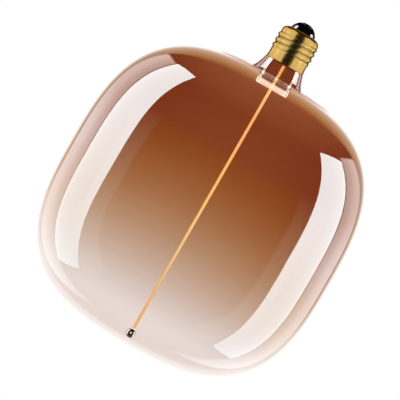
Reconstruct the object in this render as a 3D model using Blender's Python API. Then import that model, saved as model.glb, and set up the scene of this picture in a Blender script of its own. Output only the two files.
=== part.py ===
"""Large squarish LED filament lamp with an E27 screw cap, a radio-controlled driver and one axial filament.

Units are metres and +Z is up, along the lamp's axis towards the cap. The origin is the middle of the
flat pad of the centre contact, where the lamp meets its lampholder, and the lamp hangs down from there.
The view from -Y has +X to the right. Every height is a Z value in that frame.
"""

import math

import bmesh
import bpy
from mathutils import Vector

MM = 0.001

# ---- Driving dimensions -------------------------------------------------------------------------------------

# Glass envelope: a turned superellipse, |r/R|^n + |z/H|^n = 1, under a flared neck
ENVELOPE_RADIUS = 89.9 * MM
ENVELOPE_HALF_HEIGHT = 92.9 * MM
ENVELOPE_MIDDLE_Z = -130.4 * MM
ENVELOPE_SQUARENESS = 2.92
GLASS_WALL = 1.0 * MM
SHOULDER_START_RADIUS = 25.5 * MM
CREASE_RADIUS = 18.3 * MM
CREASE_Z = -38.9 * MM

# Screw cap, E27: 26.2 mm over the crests, about seven threads to the inch
THREAD_CREST_RADIUS = 13.1 * MM
THREAD_ROOT_RADIUS = 12.2 * MM
THREAD_PITCH = 3.629 * MM
THREAD_TOP_Z = -10.2 * MM
THREAD_BOTTOM_Z = -22.9 * MM
FIRST_CREST_Z = -11.25 * MM
THREAD_FADE = 1.6 * MM
SHELL_RADIUS = 12.34 * MM
SHELL_SHEET = 0.3 * MM
SHELL_LIP_RADIUS = 8.4 * MM
SHELL_LIP_Z = -6.0 * MM
SHOULDER_FOOT_Z = -9.6 * MM
RIM_Z = -28.4 * MM
RIM_RADIUS = 12.8 * MM

# Black glass insulator and the contact riveted through it
DOME_RADIUS = 8.37 * MM
PAD_RADIUS = 1.8 * MM
CONTACT_RADIUS = 4.4 * MM
SHANK_RADIUS = 1.4 * MM
DOME_FOOT_RADIUS = 8.08 * MM
INSULATOR_BASE_Z = -8.8 * MM

# Glass neck inside the cap, the cement round it and the stem sealed in it
NECK_TOP_Z = -19.3 * MM
NECK_STRAIGHT_END_Z = -26.8 * MM
NECK_RADIUS = 11.2 * MM
CEMENT_TOP_Z = -20.2 * MM
CEMENT_BOTTOM_Z = -26.4 * MM
STEM_RIM_RADIUS = 9.85 * MM
STEM_GLASS = 1.05 * MM
STEM_CUP_FLOOR_Z = -24.2 * MM
PRESS_RADIUS = 3.2 * MM
PRESS_TOP_Z = -25.2 * MM
PRESS_BOTTOM_Z = -27.2 * MM
COLLAR_RADIUS = 9.8 * MM
COLLAR_BORE_RADIUS = 9.1 * MM
COLLAR_TOP_Z = -21.9 * MM
COLLAR_LIP_RADIUS = 10.6 * MM
COLLAR_LIP_TOP_Z = -42.0 * MM
COLLAR_BOTTOM_Z = -45.3 * MM
EXHAUST_RADIUS = 1.25 * MM
EXHAUST_BORE_RADIUS = 0.8 * MM

# Filament on the axis, and the ball at its end
FILAMENT_RADIUS = 1.0 * MM
FILAMENT_BORE_RADIUS = 0.74 * MM
FILAMENT_TOP_Z = -29.0 * MM
FILAMENT_BOTTOM_Z = -212.0 * MM
BALL_RADIUS = 3.0 * MM
BALL_Z = -215.3 * MM
BALL_SEAT_RISE = 1.6 * MM
BALL_SEAT_RADIUS = 1.2 * MM
FERRULE_RADIUS = 0.95 * MM
TERMINAL_HEAD = 0.4 * MM
CHIP_PITCH = 6.0 * MM
LEAD_OFFSET = 2.0 * MM
LEAD_RADIUS = 0.22 * MM

# Driver in the cap
BOARD_SIZE = Vector((19.0, 1.0, 8.4)) * MM
BOARD_MIDDLE_Z = -14.5 * MM
SLEEVE_RADIUS = 10.8 * MM
SLEEVE_WALL = 0.4 * MM

# Gaps between touching pieces: one for turned glass and metal, one for parts soldered to a board
CLEARANCE = 0.3 * MM
SOLDER_GAP = 0.15 * MM
BOARD_FRONT = -0.5 * BOARD_SIZE.y - SOLDER_GAP
BOARD_BACK = 0.5 * BOARD_SIZE.y + SOLDER_GAP
SEGMENTS = 32
SMALL_SEGMENTS = 16


# ---- Scene and materials ------------------------------------------------------------------------------------

def clear_scene():
    for item in list(bpy.data.objects):
        bpy.data.objects.remove(item, do_unlink=True)


def material(name, colour, roughness, metallic=0.0, alpha=1.0):
    """One plain Principled material, made once and then shared."""
    made = bpy.data.materials.get(name)
    if made is None:
        made = bpy.data.materials.new(name)
        made.use_nodes = True
        shader = made.node_tree.nodes["Principled BSDF"]
        shader.inputs["Base Color"].default_value = (*colour, 1.0)
        shader.inputs["Roughness"].default_value = roughness
        shader.inputs["Metallic"].default_value = metallic
        shader.inputs["Alpha"].default_value = alpha
        made.diffuse_color = (*colour, alpha)
    return made


def tinted_glass():
    return material("tinted_glass", (0.55, 0.26, 0.14), 0.03, alpha=0.5)


def clear_glass():
    return material("clear_glass", (0.86, 0.90, 0.90), 0.05, alpha=0.5)


def black_glass():
    return material("black_glass", (0.006, 0.006, 0.007), 0.05)


def brass():
    return material("brass", (0.72, 0.50, 0.18), 0.22, 1.0)


def black_nickel():
    return material("black_nickel", (0.02, 0.02, 0.022), 0.12, 0.6)


def bright_metal():
    return material("bright_metal", (0.82, 0.83, 0.84), 0.10, 1.0)


def phosphor():
    return material("phosphor", (0.85, 0.38, 0.08), 0.45)


def ceramic():
    return material("ceramic", (0.86, 0.85, 0.82), 0.5)


def copper():
    return material("copper", (0.72, 0.34, 0.20), 0.3, 1.0)


def circuit_board():
    return material("circuit_board", (0.03, 0.22, 0.10), 0.4)


def black_plastic():
    return material("black_plastic", (0.02, 0.02, 0.02), 0.4)


def ferrite():
    return material("ferrite", (0.07, 0.07, 0.075), 0.7)


def cement():
    return material("cement", (0.62, 0.58, 0.50), 0.9)


def sleeve_film():
    return material("sleeve_film", (0.85, 0.80, 0.66), 0.5)


def wire_cover(name, colour):
    return material(name, colour, 0.45)


# ---- Building tools -----------------------------------------------------------------------------------------

def empty(name, z=0.0, parent=None):
    made = bpy.data.objects.new(name, None)
    made.location = (0.0, 0.0, z)
    made.parent = parent
    bpy.context.collection.objects.link(made)
    return made


def finish_object(name, mesh, look, parent, at=(0.0, 0.0, 0.0)):
    """An object for a mesh, placed in the lamp's frame under a parent empty."""
    made = bpy.data.objects.new(name, mesh)
    bpy.context.collection.objects.link(made)
    made.parent = parent
    made.location = Vector(at) - parent.location
    mesh.materials.append(look)
    mesh.shade_smooth()
    mesh.set_sharp_from_angle(angle=math.radians(35.0))
    return made


def mesh_from(bm, name):
    bmesh.ops.recalc_face_normals(bm, faces=bm.faces)
    mesh = bpy.data.meshes.new(name)
    bm.to_mesh(mesh)
    bm.free()
    return mesh


def turned_mesh(name, outline, segments=SEGMENTS):
    """A solid turned about Z from a closed outline of (radius, z); a zero radius is a pole on the axis."""
    bm = bmesh.new()
    rings = []
    for radius, z in outline:
        if radius < 1e-9:
            rings.append([bm.verts.new((0.0, 0.0, z))])
            continue
        ring = []
        for step in range(segments):
            angle = 2.0 * math.pi * step / segments
            ring.append(bm.verts.new((radius * math.cos(angle), radius * math.sin(angle), z)))
        rings.append(ring)
    for lower, upper in zip(rings, rings[1:] + rings[:1]):
        join_rings(bm, lower, upper)
    return mesh_from(bm, name)


def join_rings(bm, lower, upper):
    """Faces between two rings of points, or between a ring and a pole."""
    count = max(len(lower), len(upper))
    if count == 1:
        return
    for step in range(count):
        following = (step + 1) % count
        if len(lower) == 1:
            bm.faces.new((lower[0], upper[following], upper[step]))
        elif len(upper) == 1:
            bm.faces.new((lower[step], lower[following], upper[0]))
        else:
            bm.faces.new((lower[step], lower[following], upper[following], upper[step]))


def turned(name, outline, look, parent, segments=SEGMENTS):
    return finish_object(name, turned_mesh(name, outline, segments), look, parent)


def block_mesh(name, size, bevel=0.0):
    bm = bmesh.new()
    bmesh.ops.create_cube(bm, size=1.0)
    bmesh.ops.scale(bm, vec=size, verts=bm.verts)
    if bevel > 0.0:
        bmesh.ops.bevel(bm, geom=bm.edges[:], offset=bevel, segments=1, affect="EDGES", profile=0.5)
    return mesh_from(bm, name)


def block(name, at, size, look, parent, bevel=0.0):
    return finish_object(name, block_mesh(name, Vector(size), bevel), look, parent, at)


def can(name, outline, at, look, parent, toward, segments=SMALL_SEGMENTS):
    """A turned piece that stands off the board: its own axis points toward +Y or -Y."""
    made = finish_object(name, turned_mesh(name, outline, segments), look, parent, at)
    made.rotation_euler = (math.radians(90.0 if toward < 0 else -90.0), 0.0, 0.0)
    return made


def wire(name, points, radius, look, parent, sides=2):
    """A round wire through a list of points, with filled ends."""
    curve = bpy.data.curves.new(name, "CURVE")
    curve.dimensions = "3D"
    curve.bevel_depth = radius
    curve.bevel_resolution = sides
    curve.use_fill_caps = True
    spline = curve.splines.new("POLY")
    spline.points.add(len(points) - 1)
    for target, place in zip(spline.points, points):
        target.co = (*(Vector(place) - parent.location), 1.0)
    curve.materials.append(look)
    made = bpy.data.objects.new(name, curve)
    made.parent = parent
    bpy.context.collection.objects.link(made)
    return made


def rounded_route(corners, radius, steps=4):
    """The route through corner points with each inner corner turned into a smooth bend."""
    corners = [Vector(corner) for corner in corners]
    route = [corners[0]]
    for before, corner, after in zip(corners, corners[1:], corners[2:]):
        start = corner + (before - corner).normalized() * radius
        end = corner + (after - corner).normalized() * radius
        for step in range(steps + 1):
            t = step / steps
            route.append(start * (1 - t) ** 2 + corner * 2 * t * (1 - t) + end * t ** 2)
    route.append(corners[-1])
    return route


def cut(target, cutters):
    """Takes the cutters' shapes out of a piece and keeps the result as its mesh."""
    for cutter in cutters:
        step = target.modifiers.new("cut", "BOOLEAN")
        step.operation = "DIFFERENCE"
        step.solver = "EXACT"
        step.object = cutter
    bpy.context.view_layer.update()
    evaluated = target.evaluated_get(bpy.context.evaluated_depsgraph_get())
    mesh = bpy.data.meshes.new_from_object(evaluated)
    target.modifiers.clear()
    target.data = mesh
    for cutter in cutters:
        bpy.data.objects.remove(cutter, do_unlink=True)


def curve_between(start, control_a, control_b, end, steps):
    """Points on a cubic curve in the (radius, z) plane, both ends included."""
    points = []
    for step in range(steps + 1):
        t = step / steps
        weights = ((1 - t) ** 3, 3 * t * (1 - t) ** 2, 3 * t * t * (1 - t), t ** 3)
        corners = (start, control_a, control_b, end)
        radius = sum(weight * corner[0] for weight, corner in zip(weights, corners))
        z = sum(weight * corner[1] for weight, corner in zip(weights, corners))
        points.append((radius, z))
    return points


def arc_points(centre_z, radius, start_radius, end_radius, steps):
    """Points on the upper half of a sphere's outline, from one distance off the axis to another."""
    first = math.asin(start_radius / radius)
    last = math.asin(end_radius / radius)
    points = []
    for step in range(steps + 1):
        angle = first + (last - first) * step / steps
        points.append((radius * math.sin(angle), centre_z + radius * math.cos(angle)))
    return points


def offset_outline(outline, distance):
    """A downward outline moved inwards by a wall's thickness; its last point is put on the axis."""
    moved = []
    for index, (radius, z) in enumerate(outline):
        before = outline[max(index - 1, 0)]
        after = outline[min(index + 1, len(outline) - 1)]
        along = Vector((after[0] - before[0], after[1] - before[1])).normalized()
        moved.append((max(radius + along.y * distance, 0.0), z - along.x * distance))
    moved[-1] = (0.0, outline[-1][1] + distance)
    return moved


# ---- Cap ----------------------------------------------------------------------------------------------------

def shell_radius(z, angle):
    """Outer radius of the screw shell's straight part, thread included, at a height and an angle."""
    flare = max(0.0, (THREAD_BOTTOM_Z - z) / (THREAD_BOTTOM_Z - RIM_Z))
    plain = SHELL_RADIUS + (RIM_RADIUS - SHELL_RADIUS) * flare ** 3
    into_thread = min(THREAD_TOP_Z - z, z - THREAD_BOTTOM_Z) / THREAD_FADE
    share = min(max(into_thread, 0.0), 1.0)
    middle = 0.5 * (THREAD_CREST_RADIUS + THREAD_ROOT_RADIUS)
    depth = 0.5 * (THREAD_CREST_RADIUS - THREAD_ROOT_RADIUS)
    turn = 2.0 * math.pi * (z - FIRST_CREST_Z) / THREAD_PITCH - angle
    threaded = middle + depth * math.cos(turn)
    return plain + share * (threaded - plain)


def shell_shoulder():
    """Outline of the shell's rounded shoulder, from the lip round the insulator down to the straight part."""
    lip = (SHELL_LIP_RADIUS, SHELL_LIP_Z)
    foot = (SHELL_RADIUS, SHOULDER_FOOT_Z)
    over = (SHELL_RADIUS - 1.6 * MM, SHELL_LIP_Z - 0.6 * MM)
    side = (SHELL_RADIUS, SHELL_LIP_Z - 1.8 * MM)
    return curve_between(lip, over, side, foot, 5)


def screw_shell(parent):
    """Thin rolled sheet: the inner skin repeats the thread at the sheet's thickness."""
    rows_per_turn = 6
    row_gap = THREAD_PITCH / rows_per_turn
    rows = round((THREAD_TOP_Z - THREAD_BOTTOM_Z) / row_gap)
    heights = [THREAD_TOP_Z + (THREAD_BOTTOM_Z - THREAD_TOP_Z) * row / rows for row in range(rows + 1)]
    heights += [THREAD_BOTTOM_Z + (RIM_Z - THREAD_BOTTOM_Z) * part for part in (0.35, 0.65, 0.85, 1.0)]
    shoulder = shell_shoulder()
    under_shoulder = offset_outline(shoulder, SHELL_SHEET)[:-1]
    under_shoulder.append((SHELL_RADIUS - SHELL_SHEET, SHOULDER_FOOT_Z))
    bm = bmesh.new()

    angles = [2.0 * math.pi * step / SEGMENTS for step in range(SEGMENTS)]

    def ring(radii, z):
        return [bm.verts.new((radius * math.cos(angle), radius * math.sin(angle), z))
                for radius, angle in zip(radii, angles)]

    rings = [ring([radius] * SEGMENTS, z) for radius, z in shoulder]
    rings += [ring([shell_radius(z, angle) for angle in angles], z) for z in heights]
    rings += [ring([shell_radius(z, angle) - SHELL_SHEET for angle in angles], z) for z in reversed(heights)]
    rings += [ring([radius] * SEGMENTS, z) for radius, z in reversed(under_shoulder)]
    for lower, upper in zip(rings, rings[1:] + rings[:1]):
        join_rings(bm, lower, upper)
    return finish_object("screw_shell", mesh_from(bm, "screw_shell"), brass(), parent)


def dome_centre_z():
    """Centre of the dome's sphere, which meets the pad's edge at the origin's height."""
    return -math.sqrt(DOME_RADIUS ** 2 - PAD_RADIUS ** 2)


def centre_contact(parent):
    """Contact button with a flat pad, a domed edge and the shank that goes through the insulator."""
    crown = arc_points(dome_centre_z(), DOME_RADIUS, PAD_RADIUS, CONTACT_RADIUS, 4)
    underside_z = crown[-1][1] - 0.45 * MM
    outline = [(0.0, 0.0)]
    outline += crown
    outline += [(CONTACT_RADIUS, underside_z), (SHANK_RADIUS, underside_z)]
    outline += [(SHANK_RADIUS, INSULATOR_BASE_Z), (0.0, INSULATOR_BASE_Z)]
    return turned("centre_contact", outline, black_nickel(), parent)


def cap_insulator(parent):
    """Black glass dome that fills the shell's top opening, with a foot under the shell's shoulder."""
    bore = SHANK_RADIUS + CLEARANCE
    seat_radius = CONTACT_RADIUS + CLEARANCE
    dome = arc_points(dome_centre_z(), DOME_RADIUS, seat_radius, DOME_FOOT_RADIUS, 5)
    seat_z = dome[0][1] - 0.65 * MM
    outline = [(bore, seat_z), (seat_radius, seat_z)]
    outline += dome
    outline += [(DOME_FOOT_RADIUS, SHELL_LIP_Z - 0.9 * MM), (9.5 * MM, -7.5 * MM), (10.0 * MM, -8.1 * MM)]
    outline += [(10.0 * MM, INSULATOR_BASE_Z), (bore, INSULATOR_BASE_Z)]
    return turned("cap_insulator", outline, black_glass(), parent)


def basing_cement(parent):
    """Ring of cement between the glass neck and the shell's skirt."""
    inner = NECK_RADIUS + 0.2 * MM
    outer = THREAD_ROOT_RADIUS - SHELL_SHEET - 0.2 * MM
    outline = [(inner, CEMENT_TOP_Z), (outer, CEMENT_TOP_Z), (outer, CEMENT_BOTTOM_Z), (inner, CEMENT_BOTTOM_Z)]
    return turned("basing_cement", outline, cement(), parent)


# ---- Glass --------------------------------------------------------------------------------------------------

def superellipse_point(turn):
    """Point of the envelope's outline at a parameter from 0 at the top pole to pi at the bottom pole."""
    power = 2.0 / ENVELOPE_SQUARENESS
    radius = ENVELOPE_RADIUS * abs(math.sin(turn)) ** power
    rise = ENVELOPE_HALF_HEIGHT * abs(math.cos(turn)) ** power
    return (radius, ENVELOPE_MIDDLE_Z + math.copysign(rise, math.cos(turn)))


def envelope_outline():
    """Outer outline of the glass, from the neck's top edge inside the cap down to the bottom pole."""
    below_rim = RIM_Z - CLEARANCE
    neck = [(NECK_RADIUS, NECK_TOP_Z), (NECK_RADIUS, 0.5 * (NECK_TOP_Z + NECK_STRAIGHT_END_Z))]
    neck += [(NECK_RADIUS, NECK_STRAIGHT_END_Z), (NECK_RADIUS + 0.45 * MM, NECK_STRAIGHT_END_Z - 0.9 * MM)]
    neck.append((RIM_RADIUS + 0.05 * MM, below_rim))
    flare = curve_between((13.0 * MM, below_rim - 0.3 * MM), (13.9 * MM, -32.1 * MM), (15.0 * MM, -35.8 * MM),
                          (17.4 * MM, -38.3 * MM), 5)
    first = math.asin((SHOULDER_START_RADIUS / ENVELOPE_RADIUS) ** (ENVELOPE_SQUARENESS / 2.0))
    middle = 0.5 * math.pi
    steps = 9
    crown = [superellipse_point(first + (middle - first) * step / steps) for step in range(steps)]
    crown += [superellipse_point(middle + middle * step / steps) for step in range(steps)]
    dip = curve_between((CREASE_RADIUS, CREASE_Z), (CREASE_RADIUS + 1.0 * MM, CREASE_Z),
                        (21.5 * MM, CREASE_Z + 0.9 * MM), crown[0], 3)
    bottom = (0.0, ENVELOPE_MIDDLE_Z - ENVELOPE_HALF_HEIGHT)
    return neck + flare + dip + crown[1:] + [bottom]


def glass_envelope(parent):
    """Blown vessel with one even wall, open at the top of its neck where the stem is sealed in."""
    outer = envelope_outline()
    inner = offset_outline(outer, GLASS_WALL)
    inner[0] = (NECK_RADIUS - GLASS_WALL, NECK_TOP_Z)
    return turned("glass_envelope", outer + inner[::-1], tinted_glass(), parent)


def neck_collar(parent):
    """Clear glass tube that lines the neck and ends below it in a thick rolled lip."""
    lip_middle_z = 0.5 * (COLLAR_LIP_TOP_Z + COLLAR_BOTTOM_Z)
    outline = [(COLLAR_BORE_RADIUS, COLLAR_TOP_Z), (COLLAR_RADIUS, COLLAR_TOP_Z)]
    outline.append((COLLAR_RADIUS, COLLAR_LIP_TOP_Z + 0.4 * MM))
    outline += curve_between((COLLAR_RADIUS + 0.2 * MM, COLLAR_LIP_TOP_Z), (COLLAR_LIP_RADIUS, COLLAR_LIP_TOP_Z),
                             (COLLAR_LIP_RADIUS, lip_middle_z), (COLLAR_LIP_RADIUS, lip_middle_z - 0.5 * MM), 4)
    outline += curve_between((COLLAR_LIP_RADIUS - 0.1 * MM, COLLAR_BOTTOM_Z + 0.5 * MM),
                             (COLLAR_LIP_RADIUS - 0.3 * MM, COLLAR_BOTTOM_Z),
                             (COLLAR_BORE_RADIUS + 0.4 * MM, COLLAR_BOTTOM_Z),
                             (COLLAR_BORE_RADIUS, COLLAR_BOTTOM_Z + 0.6 * MM), 4)
    return turned("neck_collar", outline, clear_glass(), parent)


def stem_flare(parent):
    """Glass stem: a flared cup whose rim meets the neck, narrowing to the press that holds the lead wires."""
    edge_round = 0.3 * MM
    outline = [(STEM_RIM_RADIUS, NECK_TOP_Z), (STEM_RIM_RADIUS, NECK_TOP_Z - 0.9 * MM)]
    shoulder = (STEM_RIM_RADIUS - 1.25 * MM, NECK_TOP_Z - 2.0 * MM)
    waist = (PRESS_RADIUS, PRESS_TOP_Z + 2.2 * MM)
    outline += curve_between(shoulder, (6.0 * MM, PRESS_TOP_Z + 2.6 * MM), waist, (PRESS_RADIUS, PRESS_TOP_Z), 4)
    outline += [(PRESS_RADIUS, PRESS_BOTTOM_Z + edge_round), (PRESS_RADIUS - edge_round, PRESS_BOTTOM_Z)]
    outline += [(0.0, PRESS_BOTTOM_Z), (0.0, STEM_CUP_FLOOR_Z)]
    outline.append((PRESS_RADIUS - 0.5 * MM, STEM_CUP_FLOOR_Z + 0.1 * MM))
    outline.append((PRESS_RADIUS + 0.2 * MM, STEM_CUP_FLOOR_Z + 2.0 * MM))
    outline.append((STEM_RIM_RADIUS - 1.85 * MM, NECK_TOP_Z - 1.0 * MM))
    outline.append((STEM_RIM_RADIUS - STEM_GLASS, NECK_TOP_Z))
    made = turned("stem_flare", outline, clear_glass(), parent, 24)
    way_radius = LEAD_RADIUS + CLEARANCE
    way_top = NECK_TOP_Z - 0.7 * MM
    way_bottom = PRESS_BOTTOM_Z - 2.8 * MM
    way_outline = [(0.0, way_top), (way_radius, way_top), (way_radius, way_bottom), (0.0, way_bottom)]
    cutters = []
    for side in (-1, 1):
        way = finish_object("lead_way", turned_mesh("lead_way", way_outline, 8), clear_glass(), parent,
                            (side * LEAD_OFFSET, 0.0, 0.0))
        way.rotation_euler.z = math.radians(11.0)
        cutters.append(way)
    cut(made, cutters)
    return made


def exhaust_tube(parent):
    """Short exhaust tube standing in the stem's cup, closed where it was tipped off."""
    foot = STEM_CUP_FLOOR_Z + 0.35 * MM
    tip = foot + 4.15 * MM
    outside = [(EXHAUST_RADIUS, foot), (EXHAUST_RADIUS, tip - 1.2 * MM), (0.9 * MM, tip - 0.5 * MM), (0.0, tip)]
    inside = [(0.0, tip - 1.0 * MM), (EXHAUST_BORE_RADIUS, tip - 1.6 * MM), (EXHAUST_BORE_RADIUS, foot)]
    outline = outside + inside
    return turned("exhaust_tube", outline, clear_glass(), parent, 12)


# ---- Filament -----------------------------------------------------------------------------------------------

def filament_phosphor(parent):
    """Amber silicone rod with phosphor, open at both ends round the carrier strip."""
    outline = [(FILAMENT_BORE_RADIUS, FILAMENT_TOP_Z), (FILAMENT_RADIUS, FILAMENT_TOP_Z)]
    outline += [(FILAMENT_RADIUS, FILAMENT_BOTTOM_Z), (FILAMENT_BORE_RADIUS, FILAMENT_BOTTOM_Z)]
    return turned("filament_phosphor", outline, phosphor(), parent, SMALL_SEGMENTS)


def filament_substrate(parent):
    """Flat carrier strip in the middle of the rod, a little shorter than the rod."""
    top = FILAMENT_TOP_Z - 1.2 * MM
    bottom = FILAMENT_BOTTOM_Z + 1.2 * MM
    size = (0.9 * MM, 0.25 * MM, top - bottom)
    return block("filament_substrate", (0.0, 0.0, 0.5 * (top + bottom)), size, ceramic(), parent)


def led_chip_row(parent):
    """One long comb: a thin circuit track with a chip standing on it at every pitch."""
    top = FILAMENT_TOP_Z - 2.0 * MM
    bottom = FILAMENT_BOTTOM_Z + 2.0 * MM
    track_face = -0.155 * MM
    track_back = -0.22 * MM
    chip_back = -0.42 * MM
    chip_length = 1.6 * MM
    half_width = 0.22 * MM
    count = int((top - bottom) / CHIP_PITCH)
    spare = (top - bottom) - count * CHIP_PITCH
    steps = [(track_back, top)]
    for index in range(count):
        start = top - 0.5 * spare - index * CHIP_PITCH - 0.5 * (CHIP_PITCH - chip_length)
        end = start - chip_length
        steps += [(track_back, start), (chip_back, start), (chip_back, end), (track_back, end)]
    steps.append((track_back, bottom))
    outline = steps + [(track_face, bottom), (track_face, top)]
    bm = bmesh.new()
    side = bm.faces.new([bm.verts.new((-half_width, y, z)) for y, z in outline])
    grown = bmesh.ops.extrude_face_region(bm, geom=[side])
    moved = [item for item in grown["geom"] if isinstance(item, bmesh.types.BMVert)]
    bmesh.ops.translate(bm, vec=(2.0 * half_width, 0.0, 0.0), verts=moved)
    return finish_object("led_chip_row", mesh_from(bm, "led_chip_row"), ceramic(), parent)


def return_conductor(parent):
    """Thin bare wire behind the strip that brings the current back from the ball's end."""
    y = 0.40 * MM
    points = [(0.0, y, FILAMENT_TOP_Z - 1.0 * MM), (0.0, y, 0.5 * (FILAMENT_TOP_Z + FILAMENT_BOTTOM_Z)),
              (0.0, y, FILAMENT_BOTTOM_Z + 1.0 * MM)]
    return wire("return_conductor", points, 0.1 * MM, copper(), parent, 1)


def filament_terminals(parent):
    """Plugs that close the two ends of the rod: each has a round head outside and a shank in the bore."""
    gap = 0.12 * MM
    shank = FILAMENT_BORE_RADIUS - gap
    ends = (("filament_top_terminal", FILAMENT_TOP_Z, 1), ("filament_bottom_terminal", FILAMENT_BOTTOM_Z, -1))
    for name, z, up in ends:
        face = z + up * gap
        back = z - up * 0.8 * MM
        end = face + up * TERMINAL_HEAD
        outline = [(0.0, back), (shank, back), (shank, face)]
        outline += [(FERRULE_RADIUS, face), (FERRULE_RADIUS, end), (0.0, end)]
        turned(name, outline, bright_metal(), parent, SMALL_SEGMENTS)


def lead_wires(parent):
    """Two wires that come down through the press and bend in to the filament's top terminal."""
    for name, side in (("lead_wire_positive", 1), ("lead_wire_negative", -1)):
        x = side * LEAD_OFFSET
        corners = [(x, 0.0, -19.6 * MM), (x, 0.0, -27.9 * MM), (side * 1.3 * MM, 0.0, -28.5 * MM)]
        wire(name, rounded_route(corners, 0.35 * MM), LEAD_RADIUS, copper(), parent)


def end_ferrule(parent):
    """Bright collar between the filament's lower terminal and the ball."""
    top = FILAMENT_BOTTOM_Z - 0.72 * MM
    bottom = BALL_Z + BALL_SEAT_RISE + 0.15 * MM
    outline = [(0.0, top), (FERRULE_RADIUS - 0.15 * MM, top), (FERRULE_RADIUS, top - 0.1 * MM)]
    outline += [(FERRULE_RADIUS, bottom), (0.0, bottom)]
    return turned("end_ferrule", outline, bright_metal(), parent, SMALL_SEGMENTS)


def end_ball(parent):
    """Bright ball with a shallow seat at its top for the collar."""
    seat_z = BALL_Z + BALL_SEAT_RISE
    steps = 10
    first = math.asin(BALL_SEAT_RADIUS / BALL_RADIUS)
    outline = [(0.0, seat_z), (BALL_SEAT_RADIUS, seat_z)]
    for step in range(steps):
        angle = first + (math.pi - first) * step / steps
        outline.append((BALL_RADIUS * math.sin(angle), BALL_Z + BALL_RADIUS * math.cos(angle)))
    outline.append((0.0, BALL_Z - BALL_RADIUS))
    return turned("end_ball", outline, bright_metal(), parent, 24)


# ---- Driver -------------------------------------------------------------------------------------------------

def driver_board(parent):
    return block("driver_board", (0.0, 0.0, BOARD_MIDDLE_Z), BOARD_SIZE, circuit_board(), parent)


def driver_sleeve(parent):
    """Insulating film sleeve between the driver and the shell, open at both ends."""
    top = INSULATOR_BASE_Z - 0.9 * MM
    bottom = NECK_TOP_Z + 0.4 * MM
    inner = SLEEVE_RADIUS - SLEEVE_WALL
    outline = [(inner, top), (SLEEVE_RADIUS, top), (SLEEVE_RADIUS, bottom), (inner, bottom)]
    return turned("driver_sleeve", outline, sleeve_film(), parent)


def supply_wires(parent):
    """Live wire from the contact's shank to the board; neutral wire from the board over the sleeve to the shell."""
    live = [(0.0, 0.0, INSULATOR_BASE_Z - 0.15 * MM), (0.0, 0.0, -9.7 * MM), (0.0, 1.5 * MM, -9.9 * MM),
            (0.0, 1.5 * MM, -11.6 * MM)]
    brown = wire_cover("brown_wire", (0.20, 0.08, 0.03))
    wire("live_wire", rounded_route(live, 0.3 * MM, 3), 0.3 * MM, brown, parent)
    y = -1.3 * MM
    neutral = [(-7.6 * MM, y, -11.6 * MM), (-8.6 * MM, y, -9.3 * MM), (-10.4 * MM, y, -9.25 * MM)]
    blue = wire_cover("blue_wire", (0.05, 0.14, 0.45))
    wire("neutral_wire", rounded_route(neutral, 0.5 * MM, 3), 0.25 * MM, blue, parent)
    outline = [(0.0, 0.0), (0.5 * MM, 0.0), (0.35 * MM, 0.35 * MM), (0.0, 0.45 * MM)]
    weld = finish_object("neutral_weld", turned_mesh("neutral_weld", outline, 10), bright_metal(), parent,
                         (-11.35 * MM, y, -9.3 * MM))
    weld.rotation_euler = (0.0, math.radians(90.0), 0.0)


def electrolytic(name, radius, height, at, toward, parent):
    """Aluminium can with a grooved lower edge, on its own plastic foot."""
    foot_height = 0.5 * MM
    foot = [(0.0, 0.0), (radius, 0.0), (radius, foot_height), (0.0, foot_height)]
    can(name + "_foot", foot, at, black_plastic(), parent, toward)
    base = foot_height + 0.1 * MM
    body = [(0.0, base), (radius, base), (radius, base + 0.5 * MM), (radius - 0.2 * MM, base + 0.75 * MM)]
    body += [(radius, base + 1.0 * MM), (radius, height - 0.25 * MM), (radius - 0.25 * MM, height), (0.0, height)]
    can(name, body, at, bright_metal(), parent, toward)


def inductor(at, parent):
    """Drum core with a wound coil between its flanges."""
    core = [(0.0, 0.0), (2.4 * MM, 0.0), (2.4 * MM, 0.7 * MM), (1.1 * MM, 0.8 * MM), (1.1 * MM, 3.4 * MM)]
    core += [(2.4 * MM, 3.5 * MM), (2.4 * MM, 4.2 * MM), (0.0, 4.2 * MM)]
    can("inductor_core", core, at, ferrite(), parent, -1)
    winding = [(1.25 * MM, 1.0 * MM), (2.1 * MM, 1.0 * MM), (2.1 * MM, 3.2 * MM), (1.25 * MM, 3.2 * MM)]
    can("inductor_winding", winding, at, copper(), parent, -1)


def fusible_resistor(parent):
    """Axial resistor lying along X: thin leads and a body with swollen ends."""
    half = [(0.0, 0.0), (0.25 * MM, 0.0), (0.25 * MM, 1.0 * MM), (0.95 * MM, 1.25 * MM), (1.1 * MM, 1.7 * MM)]
    half += [(1.1 * MM, 2.3 * MM), (0.95 * MM, 2.7 * MM)]
    length = 7.6 * MM
    outline = half + [(radius, length - along) for radius, along in reversed(half)]
    mesh = turned_mesh("fusible_resistor", outline, 12)
    at = (0.6 * MM, BOARD_FRONT - 1.25 * MM, -11.7 * MM)
    made = finish_object("fusible_resistor", mesh, ceramic(), parent, at)
    made.rotation_euler = (0.0, math.radians(90.0), 0.0)
    return made


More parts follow.
